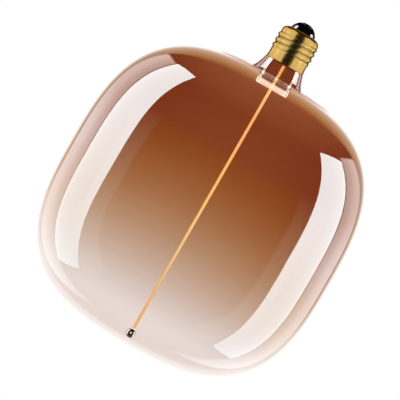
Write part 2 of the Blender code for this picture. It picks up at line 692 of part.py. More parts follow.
def chip_with_legs(name, at, size, legs, look, parent, toward):
    """Moulded package whose side profile ends in gull-wing legs, slotted into separate legs."""
    width, height, length = size
    reach = 0.5 * width + 0.7 * MM
    foot = 0.18 * MM
    half = [(0.5 * width, foot + 0.12 * MM), (0.5 * width + 0.25 * MM, foot + 0.12 * MM)]
    half += [(0.5 * width + 0.3 * MM, 0.0), (reach, 0.0), (reach, foot), (0.5 * width + 0.45 * MM, foot)]
    half += [(0.5 * width + 0.4 * MM, foot + 0.3 * MM), (0.5 * width, foot + 0.3 * MM), (0.5 * width, height)]
    outline = half + [(-x, y) for x, y in reversed(half)]
    bm = bmesh.new()
    side = bm.faces.new([bm.verts.new((x, toward * y, -0.5 * length)) for x, y in outline])
    grown = bmesh.ops.extrude_face_region(bm, geom=[side])
    moved = [item for item in grown["geom"] if isinstance(item, bmesh.types.BMVert)]
    bmesh.ops.translate(bm, vec=(0.0, 0.0, length), verts=moved)
    made = finish_object(name, mesh_from(bm, name), look, parent, at)
    pitch = length / legs
    cutters = []
    for index in range(legs + 1):
        z = at[2] - 0.5 * length + index * pitch
        for side_sign in (-1, 1):
            x = at[0] + side_sign * (0.5 * width + 0.6 * MM)
            slot_size = (1.1 * MM, 1.6 * MM, 0.5 * pitch)
            cutters.append(block(name + "_slot", (x, at[1] + toward * 0.2 * MM, z), slot_size, look, parent))
    cut(made, cutters)
    return made


def power_parts(parent):
    """Mains side of the board: bridge, fuse, inductor, can and the small parts round the converter."""
    z = BOARD_MIDDLE_Z
    electrolytic("input_capacitor", 2.2 * MM, 6.6 * MM, (1.6 * MM, BOARD_FRONT, z - 1.4 * MM), -1, parent)
    inductor((6.6 * MM, BOARD_FRONT, z - 1.2 * MM), parent)
    fusible_resistor(parent)
    chip_with_legs("bridge_rectifier", (-5.0 * MM, BOARD_FRONT, z + 0.6 * MM),
                   (3.0 * MM, 1.5 * MM, 2.6 * MM), 2, black_plastic(), parent, -1)
    chip_with_legs("driver_ic", (-4.6 * MM, BOARD_FRONT, z - 2.5 * MM),
                   (2.4 * MM, 1.1 * MM, 2.6 * MM), 3, black_plastic(), parent, -1)
    block("freewheel_diode", (-1.5 * MM, BOARD_FRONT - 0.5 * MM, z + 0.9 * MM),
          (1.3 * MM, 0.9 * MM, 2.4 * MM), black_plastic(), parent, 0.1 * MM)
    block("current_sense_resistor", (-8.2 * MM, BOARD_FRONT - 0.2 * MM, z - 1.6 * MM),
          (0.8 * MM, 0.4 * MM, 1.6 * MM), black_plastic(), parent, 0.05 * MM)
    block("ceramic_capacitor", (-8.2 * MM, BOARD_FRONT - 0.35 * MM, z + 0.8 * MM),
          (0.8 * MM, 0.7 * MM, 1.6 * MM), ceramic(), parent, 0.08 * MM)


def radio_parts(parent):
    """Radio side of the board: module on a pin header, its shielded chip, crystal and wire antenna."""
    z = BOARD_MIDDLE_Z - 0.6 * MM
    middle_x = 4.0 * MM
    can_at = (-4.8 * MM, BOARD_BACK, BOARD_MIDDLE_Z - 1.2 * MM)
    electrolytic("output_capacitor", 2.0 * MM, 5.6 * MM, can_at, 1, parent)
    header_height = 1.2 * MM
    board_height = 0.8 * MM
    module_y = BOARD_BACK + header_height + SOLDER_GAP + 0.5 * board_height
    block("radio_header", (middle_x, BOARD_BACK + 0.5 * header_height, z - 2.6 * MM),
          (6.0 * MM, header_height, 1.2 * MM), black_plastic(), parent, 0.1 * MM)
    block("radio_board", (middle_x, module_y, z), (9.0 * MM, board_height, 6.8 * MM), circuit_board(), parent)
    face = module_y + 0.5 * board_height + SOLDER_GAP
    block("radio_chip", (middle_x, face + 0.3 * MM, z), (3.0 * MM, 0.6 * MM, 3.0 * MM), black_plastic(), parent,
          0.05 * MM)
    radio_shield((middle_x, face, z), (5.2 * MM, 1.3 * MM, 4.8 * MM), parent)
    block("radio_crystal", (middle_x + 3.6 * MM, face + 0.25 * MM, z + 1.6 * MM), (1.2 * MM, 0.5 * MM, 1.6 * MM),
          bright_metal(), parent, 0.05 * MM)
    route = [(middle_x - 3.6 * MM, face + 0.35 * MM, z), (middle_x - 3.6 * MM, face + 0.35 * MM, -19.6 * MM),
             (0.6 * MM, 4.0 * MM, -20.9 * MM)]
    wire("antenna_wire", rounded_route(route, 0.8 * MM), 0.2 * MM, copper(), parent)


def radio_shield(at, size, parent):
    """Thin metal can over the radio chip, open towards its board."""
    width, height, length = size
    wall = 0.2 * MM
    made = block("radio_shield", (at[0], at[1] + 0.5 * height, at[2]), size, bright_metal(), parent)
    hollow_size = (width - 2 * wall, height, length - 2 * wall)
    hollow = block("hollow", (at[0], at[1] + 0.5 * height - wall, at[2]), hollow_size, bright_metal(), parent)
    cut(made, [hollow])
    return made


# ---- Lamp ---------------------------------------------------------------------------------------------------

def build():
    clear_scene()
    lamp = empty("lamp")
    cap = empty("cap_group", 0.0, lamp)
    glass = empty("glass_group", 0.0, lamp)
    filament = empty("filament_group", 0.0, lamp)
    driver = empty("driver_group", 0.0, lamp)
    screw_shell(cap)
    centre_contact(cap)
    cap_insulator(cap)
    basing_cement(cap)
    glass_envelope(glass)
    neck_collar(glass)
    stem_flare(glass)
    exhaust_tube(glass)
    filament_phosphor(filament)
    filament_substrate(filament)
    led_chip_row(filament)
    return_conductor(filament)
    filament_terminals(filament)
    lead_wires(filament)
    end_ferrule(filament)
    end_ball(filament)
    driver_board(driver)
    driver_sleeve(driver)
    supply_wires(driver)
    power_parts(driver)
    radio_parts(driver)


build()
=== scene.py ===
"""Looks of a large squarish LED filament lamp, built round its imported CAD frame.

Metres, +Z along the lamp's axis towards the cap, the view from -Y. The pieces that show are made again as
fine meshes on the frame's own measures. The parts inside the lamp keep their CAD shapes and get materials.
"""

import math

import bmesh
import bpy
from mathutils import Matrix, Vector

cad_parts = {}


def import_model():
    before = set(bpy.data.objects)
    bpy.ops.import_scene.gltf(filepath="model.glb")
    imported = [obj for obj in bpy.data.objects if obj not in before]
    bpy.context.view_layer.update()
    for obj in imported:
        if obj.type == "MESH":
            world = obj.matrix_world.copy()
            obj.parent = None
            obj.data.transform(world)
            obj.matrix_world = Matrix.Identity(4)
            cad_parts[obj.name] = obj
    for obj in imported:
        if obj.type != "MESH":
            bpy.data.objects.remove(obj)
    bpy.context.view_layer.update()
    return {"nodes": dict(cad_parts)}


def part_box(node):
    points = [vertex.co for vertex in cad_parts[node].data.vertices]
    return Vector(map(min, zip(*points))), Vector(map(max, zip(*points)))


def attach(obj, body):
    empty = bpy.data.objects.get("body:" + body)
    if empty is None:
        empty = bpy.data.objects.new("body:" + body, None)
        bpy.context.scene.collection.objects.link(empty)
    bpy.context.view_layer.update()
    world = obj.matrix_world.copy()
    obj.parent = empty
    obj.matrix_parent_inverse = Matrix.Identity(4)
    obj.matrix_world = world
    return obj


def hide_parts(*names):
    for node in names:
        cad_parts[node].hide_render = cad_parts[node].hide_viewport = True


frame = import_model()

MM = 0.001
BODY = "root"

# ---- Measures of the visible shapes, which follow the frame ------------------------------------------------

GLASS_LOW, GLASS_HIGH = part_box("glass_envelope")
SHELL_LOW, SHELL_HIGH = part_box("screw_shell")
ROD_LOW, ROD_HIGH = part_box("filament_phosphor")
BALL_LOW, BALL_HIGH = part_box("end_ball")
FERRULE_LOW, FERRULE_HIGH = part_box("end_ferrule")
COLLAR_LOW, COLLAR_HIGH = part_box("neck_collar")

GLASS_RADIUS = GLASS_HIGH.x
CROWN_HALF_HEIGHT = 92.9 * MM
CROWN_MIDDLE_Z = GLASS_LOW.z + CROWN_HALF_HEIGHT
SQUARENESS = 2.92
GLASS_WALL = 1.0 * MM
NECK_RADIUS = 11.2 * MM
NECK_TOP_Z = GLASS_HIGH.z
SHOULDER_START_RADIUS = 25.5 * MM
CREASE_Z = -38.9 * MM

COLLAR_TUBE = COLLAR_HIGH.x - 0.8 * MM
COLLAR_BORE = COLLAR_TUBE - 0.7 * MM
COLLAR_LIP_TOP_Z = COLLAR_LOW.z + 3.3 * MM
COLLAR_SLOPE = 1.4 * MM
COLLAR_EDGE = 0.7 * MM

RIM_Z = SHELL_LOW.z
LIP_Z = SHELL_HIGH.z
THREAD_CREST = SHELL_HIGH.x
THREAD_ROOT = 12.2 * MM
THREAD_PITCH = 3.629 * MM
THREAD_TOP_Z = -10.2 * MM
THREAD_BOTTOM_Z = -22.9 * MM
FIRST_CREST_Z = -11.25 * MM
THREAD_FADE = 1.6 * MM
SHELL_RADIUS = 12.34 * MM
SHELL_SHEET = 0.3 * MM
SHELL_LIP_RADIUS = 8.4 * MM
SHOULDER_FOOT_Z = -9.6 * MM
RIM_RADIUS = 12.8 * MM

DOME_RADIUS = 8.37 * MM
PAD_RADIUS = 1.8 * MM
CONTACT_RADIUS = 4.4 * MM
SHANK_RADIUS = 1.4 * MM
DOME_FOOT_RADIUS = 8.08 * MM
INSULATOR_BORE = 1.7 * MM
INSULATOR_SKIRT_RADIUS = 10.0 * MM
INSULATOR_BASE_Z = -8.8 * MM

ROD_BORE = 0.74 * MM
ROD_EDGE = 0.15 * MM
BALL_SEAT_RADIUS = 1.2 * MM
BALL_SEAT_RISE = 1.6 * MM
BALL_SATIN_SHARE = 0.86
FERRULE_EDGE = 0.15 * MM

# Points round a turned piece
FINE_SEGMENTS = 144
SEGMENTS = 96
BALL_SEGMENTS = 64
FERRULE_SEGMENTS = 48
ROD_SEGMENTS = 32


# ---- Node building -----------------------------------------------------------------------------------------

class Nodes:
    """A material's or a world's node tree, with one short method for each kind of node it needs."""

    def __init__(self, owner):
        owner.use_nodes = True
        self.tree = owner.node_tree
        self.tree.nodes.clear()

    def add(self, kind, inputs=None, **settings):
        node = self.tree.nodes.new(kind)
        for name, value in settings.items():
            setattr(node, name, value)
        for key, value in (inputs or {}).items():
            self.feed(node.inputs[key], value)
        return node

    def feed(self, socket, value):
        if isinstance(value, bpy.types.NodeSocket):
            self.tree.links.new(value, socket)
        elif isinstance(value, bpy.types.Node):
            self.tree.links.new(value.outputs[0], socket)
        else:
            socket.default_value = value

    def maths(self, operation, a, b=0.0, clamp=False):
        return self.add("ShaderNodeMath", {0: a, 1: b}, operation=operation, use_clamp=clamp).outputs[0]

    def minus(self, a, b):
        return self.maths("SUBTRACT", a, b)

    def power(self, a, b):
        return self.maths("POWER", a, b)

    def times(self, first, *others):
        product = first
        for other in others:
            product = self.maths("MULTIPLY", product, other)
        return product

    def ramp(self, value, low, high, to_low=0.0, to_high=1.0, smooth=False):
        kind = "SMOOTHSTEP" if smooth else "LINEAR"
        inputs = {"Value": value, "From Min": low, "From Max": high, "To Min": to_low, "To Max": to_high}
        return self.add("ShaderNodeMapRange", inputs, interpolation_type=kind).outputs["Result"]

    def mix_colour(self, factor, a, b, blend="MIX"):
        """A Mix node of colours: input 0 is the factor, 6 and 7 are the colours, output 2 is the result."""
        node = self.add("ShaderNodeMix", data_type="RGBA", blend_type=blend)
        for socket, value in zip((node.inputs[0], node.inputs[6], node.inputs[7]), (factor, a, b)):
            self.feed(socket, value)
        return node.outputs[2]

    def place(self):
        """Where the point is in the lamp's frame, as separate X, Y and Z outputs."""
        where = self.add("ShaderNodeTexCoord").outputs["Object"]
        return self.add("ShaderNodeSeparateXYZ", {0: where}).outputs

    def noise(self, scale, detail=3.0, roughness=0.5, stretch=(1.0, 1.0, 1.0)):
        where = self.add("ShaderNodeTexCoord").outputs["Object"]
        where = self.add("ShaderNodeMapping", {"Vector": where, "Scale": stretch}).outputs[0]
        inputs = {"Vector": where, "Scale": scale, "Detail": detail, "Roughness": roughness}
        return self.add("ShaderNodeTexNoise", inputs).outputs["Fac"]

    def facing(self):
        """0 where the surface faces the ray and 1 at flat angles."""
        return self.add("ShaderNodeLayerWeight", {"Blend": 0.5}).outputs["Facing"]

    def bump(self, height, strength, distance):
        inputs = {"Height": height, "Strength": strength, "Distance": distance}
        return self.add("ShaderNodeBump", inputs).outputs[0]

    def mix_shader(self, share, a, b):
        return self.add("ShaderNodeMixShader", {0: share, 1: a.outputs[0], 2: b.outputs[0]})

    def add_shaders(self, a, b):
        return self.add("ShaderNodeAddShader", {0: a.outputs[0], 1: b.outputs[0]})

    def surface(self, shader):
        output = self.add("ShaderNodeOutputMaterial")
        self.feed(output.inputs["Surface"], shader)


def new_look(name):
    look = bpy.data.materials.new(name)
    return look, Nodes(look)


def colour(*rgb):
    return (*rgb, 1.0)


def principled(nodes, **inputs):
    named = {key.replace("_", " "): value for key, value in inputs.items()}
    return nodes.add("ShaderNodeBsdfPrincipled", named)


# ---- Materials ---------------------------------------------------------------------------------------------

# What two walls of the glass let through, red, green and blue, without the film and with all of it
CLEAR_PASSES = (0.832, 0.714, 0.664)
DENSE_PASSES = (0.272, 0.057, 0.0175)

# Where the film starts, and for each colour where it is full and how it grows on the way
FILM_START_Z = CROWN_MIDDLE_Z - 72.8 * MM
FILM_FULL_Z = (CROWN_MIDDLE_Z + 42.0 * MM, CROWN_MIDDLE_Z + 41.0 * MM, CROWN_MIDDLE_Z + 28.2 * MM)
FILM_CURVE = (1.03, 1.25, 1.4)
FILM_CLOUD = 1.5 * MM
SLANT_TINT = 0.5

# A belt on the shoulder and the crease have less film
SHOULDER_THINS = 0.38
BELT_GROWS_Z = (-68.0 * MM, -44.0 * MM)
BELT_ENDS_Z = (-36.0 * MM, -40.0 * MM)
CREASE_THINS = 0.85
CREASE_SPREAD = (0.5 * MM, 1.2 * MM)

# Share of light that the skin mirrors head-on, with all of the film and without it
MIRROR_DENSE = 0.13
MIRROR_CLEAR = 0.023

# What is left of the mirror at the neck's edges, and where the neck starts
NECK_EDGE = 0.25
NECK_EDGE_FACING = (0.60, 0.68)
NECK_FOOT_Z = (-41.5 * MM, -39.5 * MM)

# Colours of the mirror head-on, and how flat the view is where it turns white
SHEEN_CLEAR = (0.68, 0.90, 1.0)
SHEEN_DENSE = (0.88, 1.0, 1.0)
SHEEN_WHITENS = (0.45, 0.6)

WHITE = (1.0, 1.0, 1.0)
BLACK = (0.0, 0.0, 0.0)
# Flat angles over which the painted rim shade sets in
RIM_SHADE_FACING = (0.42, 0.62)
CHIP_BEAD = 1.5 * MM
LIP_BLUR = 0.3 * MM
TRACK_PITCH = 1.27 * MM
PAD_PITCH = 2.54 * MM


def film(nodes):
    """How much film each of the three colours meets, and the share of the full film at this height.

    The copper-brown film thins out from the cap's end to the far end, for blue light sooner than for red, so
    the glass is amber half-way. It is thinner in a belt on the shoulder and in the crease at the neck's foot.
    """
    height = nodes.place()[2]
    cloud = nodes.ramp(nodes.noise(14.0, 2.0), 0.0, 1.0, -FILM_CLOUD, FILM_CLOUD)
    level = nodes.maths("ADD", height, cloud)
    belt = nodes.times(nodes.ramp(height, *BELT_GROWS_Z, 0.0, SHOULDER_THINS),
                       nodes.ramp(height, *BELT_ENDS_Z, 0.0, 1.0, True))
    from_crease = nodes.maths("ABSOLUTE", nodes.minus(height, CREASE_Z))
    crease = nodes.ramp(from_crease, *CREASE_SPREAD, CREASE_THINS, 0.0)
    left = nodes.minus(1.0, nodes.maths("MAXIMUM", belt, crease))
    amounts = []
    for full_z, curve in zip(FILM_FULL_Z, FILM_CURVE):
        amount = nodes.power(nodes.ramp(level, FILM_START_Z, full_z), curve)
        amounts.append(nodes.times(amount, left))
    return amounts, amounts[0]


def light_through(nodes, amounts, facing):
    """Colour that one wall lets through: the square root of what two walls pass, less at a slant."""
    slant = nodes.ramp(facing, 0.0, 1.0, 0.5, 0.5 + 0.5 * SLANT_TINT)
    passes = nodes.add("ShaderNodeCombineColor")
    for index, (amount, clear, dense) in enumerate(zip(amounts, CLEAR_PASSES, DENSE_PASSES)):
        through_film = nodes.power(dense / clear, nodes.times(amount, slant))
        nodes.feed(passes.inputs[index], nodes.times(through_film, math.sqrt(clear)))
    return passes


def mirror_share(nodes, density, facing):
    """Share of light that the skin mirrors: more on dense film and at flat angles, less at the neck's edges.

    The flat-angle part follows Schlick's fifth power.
    """
    thin = nodes.power(nodes.maths("SUBTRACT", 1.0, density, True), 2.0)
    head_on = nodes.ramp(thin, 0.0, 1.0, MIRROR_DENSE, MIRROR_CLEAR)
    edge = nodes.times(nodes.power(facing, 5.0), 1.0 - MIRROR_DENSE)
    on_neck = nodes.ramp(nodes.place()[2], *NECK_FOOT_Z, 0.0, 1.0, True)
    dulled = nodes.times(on_neck, nodes.ramp(facing, *NECK_EDGE_FACING, 0.0, 1.0 - NECK_EDGE))
    return nodes.times(nodes.maths("ADD", head_on, edge, True), nodes.minus(1.0, dulled))


def tinted_glass():
    """Skin that passes light through its film and mirrors the rest.

    Only the side turned to the light mirrors, so the far wall adds no second image of the lights.
    """
    look, nodes = new_look("tinted_glass")
    amounts, density = film(nodes)
    facing = nodes.facing()
    outside = nodes.minus(1.0, nodes.add("ShaderNodeNewGeometry").outputs["Backfacing"])
    sheen = nodes.mix_colour(density, colour(*SHEEN_CLEAR), colour(*SHEEN_DENSE))
    sheen = nodes.mix_colour(nodes.ramp(facing, *SHEEN_WHITENS), sheen, colour(*WHITE))
    ripple = nodes.bump(nodes.noise(9.0, 1.0), 0.12, 0.4 * MM)
    through = nodes.add("ShaderNodeBsdfTransparent", {"Color": light_through(nodes, amounts, facing)})
    gloss = nodes.add("ShaderNodeBsdfGlossy", {"Color": sheen, "Roughness": 0.03, "Normal": ripple})
    share = nodes.times(mirror_share(nodes, density, facing), outside)
    nodes.surface(nodes.mix_shader(share, through, gloss))
    return look


def inner_skin():
    """Inner face of the glass, which only lets light through."""
    look, nodes = new_look("tinted_glass_inside")
    passes = nodes.mix_colour(nodes.noise(20.0), colour(*WHITE), colour(0.995, 0.995, 0.995))
    nodes.surface(nodes.add("ShaderNodeBsdfTransparent", {"Color": passes}))
    return look


def clear_glass():
    """Clear glass of the stem, which mirrors more at flat angles."""
    look, nodes = new_look("clear_glass")
    mirror = nodes.ramp(nodes.power(nodes.facing(), 5.0), 0.0, 1.0, 0.05, 1.0)
    passes = nodes.mix_colour(nodes.noise(300.0), colour(0.93, 0.96, 0.96), colour(0.97, 0.98, 0.98))
    through = nodes.add("ShaderNodeBsdfTransparent", {"Color": passes})
    gloss = nodes.add("ShaderNodeBsdfGlossy", {"Color": colour(*WHITE), "Roughness": 0.02})
    nodes.surface(nodes.mix_shader(mirror, through, gloss))
    return look


def collar_glass():
    """Clear tube of the neck. Its edges and its lip carry a painted highlight, a faint emission that keeps
    them pale behind the film.
    """
    look, nodes = new_look("clear_glass")
    z = nodes.place()[2]
    lip = nodes.ramp(z, COLLAR_LIP_TOP_Z + LIP_BLUR, COLLAR_LIP_TOP_Z - LIP_BLUR, 0.0, 1.0, True)
    edge = nodes.ramp(nodes.facing(), 0.55, 0.85, 0.0, 1.0, True)
    # Painted highlight: an emission on the tube's edges and over all of the lip, brightest at flat angles
    tube_painted_highlight = nodes.mix_colour(edge, colour(*BLACK), colour(0.8, 1.6, 2.2))
    lip_painted_highlight = nodes.mix_colour(edge, colour(0.36, 0.60, 0.85), colour(1.0, 2.2, 3.0))
    glow = nodes.mix_colour(lip, tube_painted_highlight, lip_painted_highlight)
    passes = nodes.mix_colour(nodes.noise(300.0), colour(0.95, 0.96, 0.96), colour(0.98, 0.98, 0.98))
    through = nodes.add("ShaderNodeBsdfTransparent", {"Color": passes})
    painted_highlight = nodes.add("ShaderNodeEmission", {"Color": glow, "Strength": 1.0})
    nodes.surface(nodes.add_shaders(through, painted_highlight))
    return look


def painted_rim_shade(nodes, base, left):
    """Painted shade at flat angles: a surface colour that falls there to a share of itself; left is what
    stays of each colour.
    """
    rim = nodes.mix_colour(1.0, base, colour(*left), "MULTIPLY")
    return nodes.mix_colour(nodes.ramp(nodes.facing(), *RIM_SHADE_FACING), base, rim)


def groove_depth(nodes):
    """0 on the thread's crests and 1 in its roots, worked out from the thread's own helix."""
    x, y, z = nodes.place()
    angle = nodes.maths("ARCTAN2", y, x)
    along = nodes.times(nodes.minus(z, FIRST_CREST_Z), 2.0 * math.pi / THREAD_PITCH)
    wave = nodes.maths("COSINE", nodes.minus(along, angle))
    return nodes.times(nodes.ramp(wave, 1.0, -1.0),
                       nodes.ramp(z, THREAD_BOTTOM_Z, THREAD_BOTTOM_Z + THREAD_FADE),
                       nodes.ramp(z, THREAD_TOP_Z, THREAD_TOP_Z - THREAD_FADE))


def brass():
    """Rolled brass with fine lines round the shell, soft stains, painted shade in the thread's roots, and
    painted shade at flat angles.
    """
    look, nodes = new_look("brass")
    lines = nodes.noise(1.0, 4.0, 0.6, (220.0, 220.0, 5200.0))
    stains = nodes.noise(160.0, 4.0, 0.6)
    painted_root_shade = nodes.times(nodes.power(groove_depth(nodes), 8.0), 0.85)
    stained = nodes.ramp(stains, 0.3, 0.75)
    base = nodes.mix_colour(stained, colour(0.92, 0.60, 0.175), colour(0.86, 0.55, 0.15))
    # Painted shade: the thread's roots are darkened to near black, and the same mask roughens them
    base = nodes.mix_colour(painted_root_shade, base, colour(0.10, 0.08, 0.04))
    rough = nodes.ramp(lines, 0.3, 0.7, 0.17, 0.26)
    # Painted shade: the brass's base colour falls at flat angles
    nodes.surface(principled(nodes, Base_Color=painted_rim_shade(nodes, base, (0.28, 0.32, 0.60)), Metallic=1.0,
                             Roughness=nodes.maths("ADD", rough, nodes.times(painted_root_shade, 0.25)),
                             Normal=nodes.bump(lines, 0.12, 0.02 * MM),
                             Specular_Tint=colour(0.30, 0.28, 0.26)))
    return look


def black_glass():
    """Poured black glass: a hard dark gloss, with a faint orange-peel surface and a few dull specks.

    It is a dark mirror rather than a clear coat, because the photograph shows only its reflections.
    """
    look, nodes = new_look("black_glass")
    peel = nodes.noise(900.0, 2.0)
    rough = nodes.ramp(nodes.noise(2400.0, 2.0), 0.62, 0.75, 0.03, 0.10)
    base = nodes.mix_colour(peel, colour(0.14, 0.14, 0.145), colour(0.17, 0.17, 0.175))
    # Painted shade: the glass's base colour falls to a tenth at flat angles
    nodes.surface(principled(nodes, Base_Color=painted_rim_shade(nodes, base, (0.1, 0.1, 0.1)), Metallic=1.0,
                             Roughness=rough, Specular_Tint=colour(*BLACK),
                             Normal=nodes.bump(peel, 0.03, 0.01 * MM)))
    return look


def black_nickel():
    """Dark plated contact with fine turning rings and a worn middle where a lampholder's spring rubs."""
    look, nodes = new_look("black_nickel")
    x, y, _ = nodes.place()
    radius = nodes.maths("SQRT", nodes.maths("ADD", nodes.times(x, x), nodes.times(y, y)))
    rings = nodes.maths("SINE", nodes.times(radius, 2.0 * math.pi / (0.12 * MM)))
    wear = nodes.times(nodes.ramp(radius, 2.2 * MM, 1.2 * MM), nodes.noise(1500.0, 4.0))
    base = nodes.mix_colour(wear, colour(0.05, 0.05, 0.053), colour(0.16, 0.15, 0.14))
    nodes.surface(principled(nodes, Base_Color=base, Metallic=1.0,
                             Roughness=nodes.ramp(wear, 0, 1, 0.10, 0.35),
                             Specular_Tint=colour(0.1, 0.1, 0.1),
                             Normal=nodes.bump(rings, 0.04, 0.01 * MM)))
    return look


def bright_metal(name="bright_metal", base=(0.88, 0.89, 0.90), rough=(0.04, 0.10)):
    """Bright plating with hairline scratches."""
    look, nodes = new_look(name)
    scratch = nodes.noise(1.0, 5.0, 0.6, (3000.0, 3000.0, 500.0))
    haze = nodes.noise(700.0, 3.0)
    tone = nodes.mix_colour(haze, colour(*base), colour(*(0.93 * value for value in base)))
    nodes.surface(principled(nodes, Base_Color=tone, Metallic=1.0,
                             Roughness=nodes.ramp(scratch, 0.4, 0.7, *rough),
                             Normal=nodes.bump(scratch, 0.03, 0.01 * MM)))
    return look


def phosphor():
    """Amber silicone that glows: brightest along its middle, with a slightly brighter bead over every chip.

    The glow is stronger and whiter behind the film, so that it looks amber all the way down.
    """
    look, nodes = new_look("phosphor")
    z = nodes.place()[2]
    bead = nodes.ramp(nodes.maths("COSINE", nodes.times(z, 2.0 * math.pi / CHIP_BEAD)), -1.0, 1.0)
    skin = nodes.mix_colour(nodes.times(bead, 0.3), colour(0.80, 0.40, 0.09), colour(0.88, 0.50, 0.16))
    behind_film = nodes.power(nodes.ramp(z, FILM_START_Z, FILM_FULL_Z[0]), 1.3)
    core = nodes.mix_colour(behind_film, colour(0.38, 0.29, 0.14), colour(1.9, 2.6, 1.9))
    edge = nodes.mix_colour(behind_film, colour(0.10, 0.05, 0.01), colour(1.4, 0.9, 0.25))
    glow = nodes.mix_colour(nodes.ramp(nodes.facing(), 0.05, 0.45, 0.0, 1.0, True), core, edge)
    nodes.surface(principled(nodes, Base_Color=skin, Roughness=0.42, Emission_Color=glow,
                             Emission_Strength=nodes.ramp(bead, 0.0, 1.0, 0.85, 1.0),
                             Normal=nodes.bump(nodes.noise(2500.0, 2.0), 0.2, 0.03 * MM)))
    return look


def speckled(name, base, other, rough, scale, bump=0.1):
    """A finish of two near tones with a fine grain, for moulded, fired, cast and insulating parts."""
    look, nodes = new_look(name)
    grain = nodes.noise(scale, 4.0, 0.6)
    tone = nodes.mix_colour(nodes.ramp(grain, 0.35, 0.65), colour(*base), colour(*other))
    nodes.surface(principled(nodes, Base_Color=tone, Roughness=nodes.ramp(grain, 0.3, 0.7, *rough),
                             Normal=nodes.bump(grain, bump, 0.03 * MM)))
    return look


def circuit_board():
    """Green solder mask with copper tracks showing through it and a row of tinned pads."""
    look, nodes = new_look("circuit_board")
    x, _, z = nodes.place()
    across = nodes.maths("FRACT", nodes.times(x, 1.0 / TRACK_PITCH))
    up = nodes.maths("FRACT", nodes.times(z, 1.0 / PAD_PITCH))
    track = nodes.times(nodes.ramp(across, 0.35, 0.42), nodes.ramp(across, 0.65, 0.58))
    pad = nodes.times(track, nodes.ramp(up, 0.7, 0.74), nodes.ramp(up, 0.95, 0.9))
    mask = nodes.mix_colour(nodes.times(track, 0.7), colour(0.012, 0.09, 0.04), colour(0.03, 0.19, 0.07))
    tone = nodes.mix_colour(pad, mask, colour(0.75, 0.74, 0.70))
    nodes.surface(principled(nodes, Base_Color=tone, Metallic=pad,
                             Roughness=nodes.ramp(pad, 0, 1, 0.35, 0.25),
                             Normal=nodes.bump(track, 0.3, 0.035 * MM)))
    return look


# ---- Mesh building -----------------------------------------------------------------------------------------

SHARP_DEGREES = 35.0
TINY = 1e-9


def finish_mesh(name, bm, look):
    """An object of the mesh, smooth but for its sharp edges, in the scene."""
    bmesh.ops.recalc_face_normals(bm, faces=bm.faces)
    mesh = bpy.data.meshes.new(name)
    bm.to_mesh(mesh)
    bm.free()
    mesh.shade_smooth()
    mesh.set_sharp_from_angle(angle=math.radians(SHARP_DEGREES))
    mesh.materials.append(look)
    made = bpy.data.objects.new(name, mesh)
    bpy.context.scene.collection.objects.link(made)
    return made


def join_rings(bm, lower, upper):
    """Faces between two rings of points. Either may be one point on the axis, which makes a fan."""
    count = max(len(lower), len(upper))
    if count == 1:
        return
    for step in range(count):
        following = (step + 1) % count
        if len(lower) == 1:
            bm.faces.new((lower[0], upper[following], upper[step]))
        elif len(upper) == 1:
            bm.faces.new((lower[step], lower[following], upper[0]))
        else:
            bm.faces.new((lower[step], lower[following], upper[following], upper[step]))


def turned(name, outline, look, segments, radius_at=None):
    """A closed outline of (radius, z) turned about the axis. radius_at may give a point another radius."""
    bm = bmesh.new()
    rings = []
    for radius, z in outline:
        if radius < TINY:
            rings.append([bm.verts.new((0.0, 0.0, z))])
            continue
        ring = []
        for step in range(segments):
            angle = 2.0 * math.pi * step / segments
            here = radius_at(radius, z, angle) if radius_at else radius
            ring.append(bm.verts.new((here * math.cos(angle), here * math.sin(angle), z)))
        rings.append(ring)
    for lower, upper in zip(rings, rings[1:] + rings[:1]):
        join_rings(bm, lower, upper)
    return finish_mesh(name, bm, look)


def cubic(start, control_a, control_b, end, steps):
    """Points on a cubic curve in the (radius, z) plane, both ends included."""
    points = []
    for step in range(steps + 1):
        t = step / steps
        weights = ((1 - t) ** 3, 3 * t * (1 - t) ** 2, 3 * t * t * (1 - t), t ** 3)
        corners = (start, control_a, control_b, end)
        points.append(tuple(sum(weight * corner[axis] for weight, corner in zip(weights, corners))
                            for axis in (0, 1)))
    return points


def rounded(corners, radius, steps=3):
    """A closed outline with every corner off the axis rounded by a small curve."""
    count = len(corners)
    outline = []
    for index, corner in enumerate(corners):
        if corner[0] < TINY:
            outline.append(corner)
            continue
        middle = Vector(corner)
        sides = [Vector(corners[(index + way) % count]) - middle for way in (-1, 1)]
        ends = [middle + side.normalized() * min(radius, 0.45 * side.length) for side in sides]
        for step in range(steps + 1):
            t = step / steps
            outline.append(tuple(ends[0] * (1 - t) ** 2 + middle * 2 * t * (1 - t) + ends[1] * t ** 2))
    return outline


def inward(outline, distance):
    """A downward outline moved inwards by a wall's thickness, with its last point on the axis."""
    moved = []
    for index, (radius, z) in enumerate(outline):
        before = outline[max(index - 1, 0)]
        after = outline[min(index + 1, len(outline) - 1)]
        along = Vector((after[0] - before[0], after[1] - before[1])).normalized()
        moved.append((max(radius + along.y * distance, 0.0), z - along.x * distance))
    moved[-1] = (0.0, outline[-1][1] + distance)
    return moved


# ---- Glass -------------------------------------------------------------------------------------------------

def crown_point(turn):
    """Point of the superellipse at a parameter from 0 at its top pole to pi at its bottom pole."""
    power = 2.0 / SQUARENESS
    rise = CROWN_HALF_HEIGHT * abs(math.cos(turn)) ** power
    return (GLASS_RADIUS * abs(math.sin(turn)) ** power, CROWN_MIDDLE_Z + math.copysign(rise, math.cos(turn)))


def crown_outline():
    """The crown from the shoulder to the bottom pole, with the steps spread evenly along the curve."""
    steps = 52
    fine_steps = 4000
    first = math.asin((SHOULDER_START_RADIUS / GLASS_RADIUS) ** (SQUARENESS / 2.0))
    turns = [first + (math.pi - first) * (step / fine_steps) for step in range(fine_steps + 1)]
    fine = [crown_point(turn) for turn in turns]
    lengths = [0.0]
    for before, after in zip(fine, fine[1:]):
        lengths.append(lengths[-1] + math.dist(before, after))
    points = []
    index = 0
    for step in range(steps):
        wanted = lengths[-1] * step / steps
        while lengths[index + 1] < wanted:
            index += 1
        points.append(fine[index])
    return points + [(0.0, GLASS_LOW.z)]


